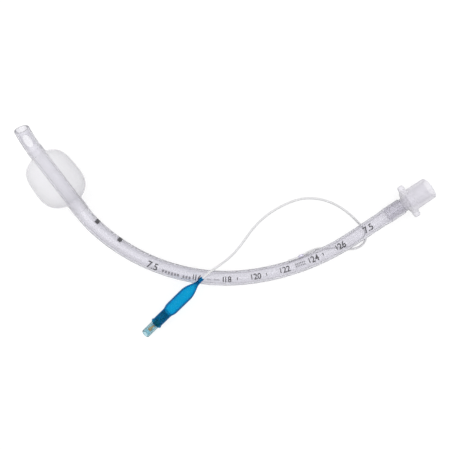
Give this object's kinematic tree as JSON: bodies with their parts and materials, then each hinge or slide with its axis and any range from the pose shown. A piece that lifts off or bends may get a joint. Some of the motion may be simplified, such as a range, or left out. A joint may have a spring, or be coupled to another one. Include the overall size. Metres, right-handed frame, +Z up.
{
  "type": "endotracheal_tube",
  "caption": "Cuffed endotracheal tube of 7.5 mm bore with inflated cuff, 15 mm connector, inflation line, pilot balloon and pilot valve, lying as it comes to rest on a flat surface.",
  "frame": {"origin": "On the surface that the tube rests on, under the middle of the bounding box of the tube, cuff, connector and glue bead (measured without the inflation line, the pilot balloon and its valve).", "axes": "+X along the greatest length of the lying tube, from the cuff towards the connector; +Y to the left of +X, on the inner side of the curve; +Z up from the surface."},
  "size_m": [0.2781, 0.1415, 0.0331],
  "materials": {
    "tube_pvc": "clear soft PVC with a faint lavender cast, smooth",
    "cuff_film": "clear thin PVC film, glossy",
    "connector_plastic": "translucent pale polypropylene, satin",
    "line_pvc": "clear soft PVC, smooth",
    "balloon_blue": "translucent blue soft PVC, glossy",
    "valve_clear_blue": "translucent pale blue rigid plastic, smooth",
    "plunger_amber": "amber brown moulded plastic",
    "seal_rubber": "dark rubber, matt",
    "spring_steel": "bright spring wire"
  },
  "bodies": {
    "tube_set": {"tube": "tube_pvc", "cuff": "cuff_film", "connector": "connector_plastic", "inflation_line": "line_pvc", "bond_bead": "line_pvc", "pilot_balloon": "balloon_blue", "valve_housing": "valve_clear_blue", "valve_spring": "spring_steel", "valve_retainer": "valve_clear_blue"},
    "plunger": {"valve_plunger": "plunger_amber", "valve_seal": "seal_rubber"}
  },
  "joints": [
    {"name": "plunger_press", "type": "slide", "parent": "tube_set", "child": "plunger", "axis": [0.697, 0.6897, 0.1962], "range_m": [0, 0.0015], "stiffness_N_per_m": 100, "springref_m": -0.002, "deforming": ["valve_spring"]}
  ]
}
